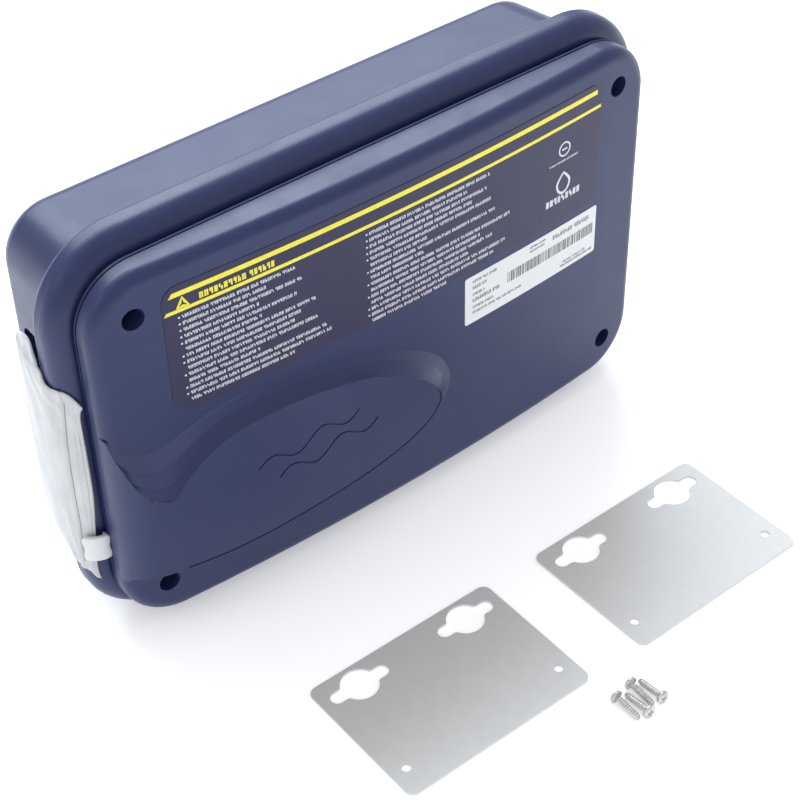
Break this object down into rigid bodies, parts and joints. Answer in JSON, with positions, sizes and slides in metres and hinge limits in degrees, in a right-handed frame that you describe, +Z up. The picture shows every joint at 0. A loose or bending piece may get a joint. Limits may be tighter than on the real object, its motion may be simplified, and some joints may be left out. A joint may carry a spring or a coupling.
{
  "type": "pool and spa control box",
  "caption": "Wall-hung control box with a crowned screw-on cover, circuit board and transformer inside, and its loose kit of keyhole mounting plates, screws and parts bag.",
  "frame": {"origin": "on the underside, on the flat land of the case rim, halfway along the width", "axes": "+X along the width, +Y towards the back that faces the wall, +Z up"},
  "size_m": [0.385, 0.3062, 0.243],
  "materials": {
    "case_plastic": "satin moulded plastic with a fine grain",
    "cover_plastic": "satin moulded plastic with a fine grain",
    "seal_rubber": "matt closed-cell rubber",
    "screw_steel": "plated",
    "label_film": "satin overlay film with two yellow stripes",
    "label_white": "printed film",
    "circuit_board": "solder mask",
    "relay_plastic": "moulded",
    "holder_plastic": "moulded",
    "fuse_metal": "nickel plated",
    "terminal_plastic": "moulded",
    "can_metal": "sleeved",
    "connector_plastic": "moulded nylon",
    "chip_plastic": "epoxy",
    "sink_metal": "extruded",
    "core_steel": "laminated",
    "coil_copper": "enamelled wire under clear tape",
    "bar_brass": "plain",
    "grommet_rubber": "matt",
    "plate_metal": "rolled, faintly grained",
    "loose_screw_zinc": "zinc plated",
    "bag_film": "translucent film",
    "bag_slider_plastic": "moulded"
  },
  "bodies": {
    "case": {"case_body": "case_plastic", "case_gasket": "seal_rubber", "main_board": "circuit_board", "board_screws": "screw_steel", "relays": "relay_plastic", "fuse_holders": "holder_plastic", "fuses": "fuse_metal", "terminal_block": "terminal_plastic", "terminal_screws": "screw_steel", "capacitors": "can_metal", "board_connectors": "connector_plastic", "control_chips": "chip_plastic", "heat_sink": "sink_metal", "transformer_core": "core_steel", "transformer_coil": "coil_copper", "transformer_screws": "screw_steel", "ground_bar": "bar_brass", "ground_screws": "screw_steel", "cable_grommets": "grommet_rubber", "keypad_socket": "holder_plastic", "parts_bag": "bag_film"},
    "cover": {"front_cover": "cover_plastic", "cover_label": "label_film", "rating_label": "label_white", "wiring_diagram": "label_white"},
    "screw_1": {"cover_screw_1": "screw_steel"},
    "screw_2": {"cover_screw_2": "screw_steel"},
    "screw_3": {"cover_screw_3": "screw_steel"},
    "screw_4": {"cover_screw_4": "screw_steel"},
    "bag_zip_slider": {"bag_slider": "bag_slider_plastic"},
    "plate_left": {"mounting_plate_left": "plate_metal"},
    "plate_right": {"mounting_plate_right": "plate_metal"},
    "loose_screws": {"plate_screws": "loose_screw_zinc"}
  },
  "joints": [
    {"name": "cover_lift_off", "type": "slide", "parent": "case", "child": "cover", "axis": [0, -1, 0], "range_m": [0, 0.11]},
    {"name": "cover_screw_1_out", "type": "slide", "parent": "cover", "child": "screw_1", "axis": [0, -1, 0], "range_m": [0, 0.016]},
    {"name": "cover_screw_2_out", "type": "slide", "parent": "cover", "child": "screw_2", "axis": [0, -1, 0], "range_m": [0, 0.016]},
    {"name": "cover_screw_3_out", "type": "slide", "parent": "cover", "child": "screw_3", "axis": [0, -1, 0], "range_m": [0, 0.016]},
    {"name": "cover_screw_4_out", "type": "slide", "parent": "cover", "child": "screw_4", "axis": [0, -1, 0], "range_m": [0, 0.016]},
    {"name": "bag_zip", "type": "slide", "parent": "case", "child": "bag_zip_slider", "axis": [0, 0, 1], "range_m": [0, 0.07]},
    {"name": "plate_left_away", "type": "slide", "parent": "case", "child": "plate_left", "axis": [-1, 0, 0], "range_m": [0, 0.05]},
    {"name": "plate_right_away", "type": "slide", "parent": "case", "child": "plate_right", "axis": [1, 0, 0], "range_m": [0, 0.05]},
    {"name": "loose_screws_away", "type": "slide", "parent": "case", "child": "loose_screws", "axis": [0, -1, 0], "range_m": [0, 0.04]}
  ]
}
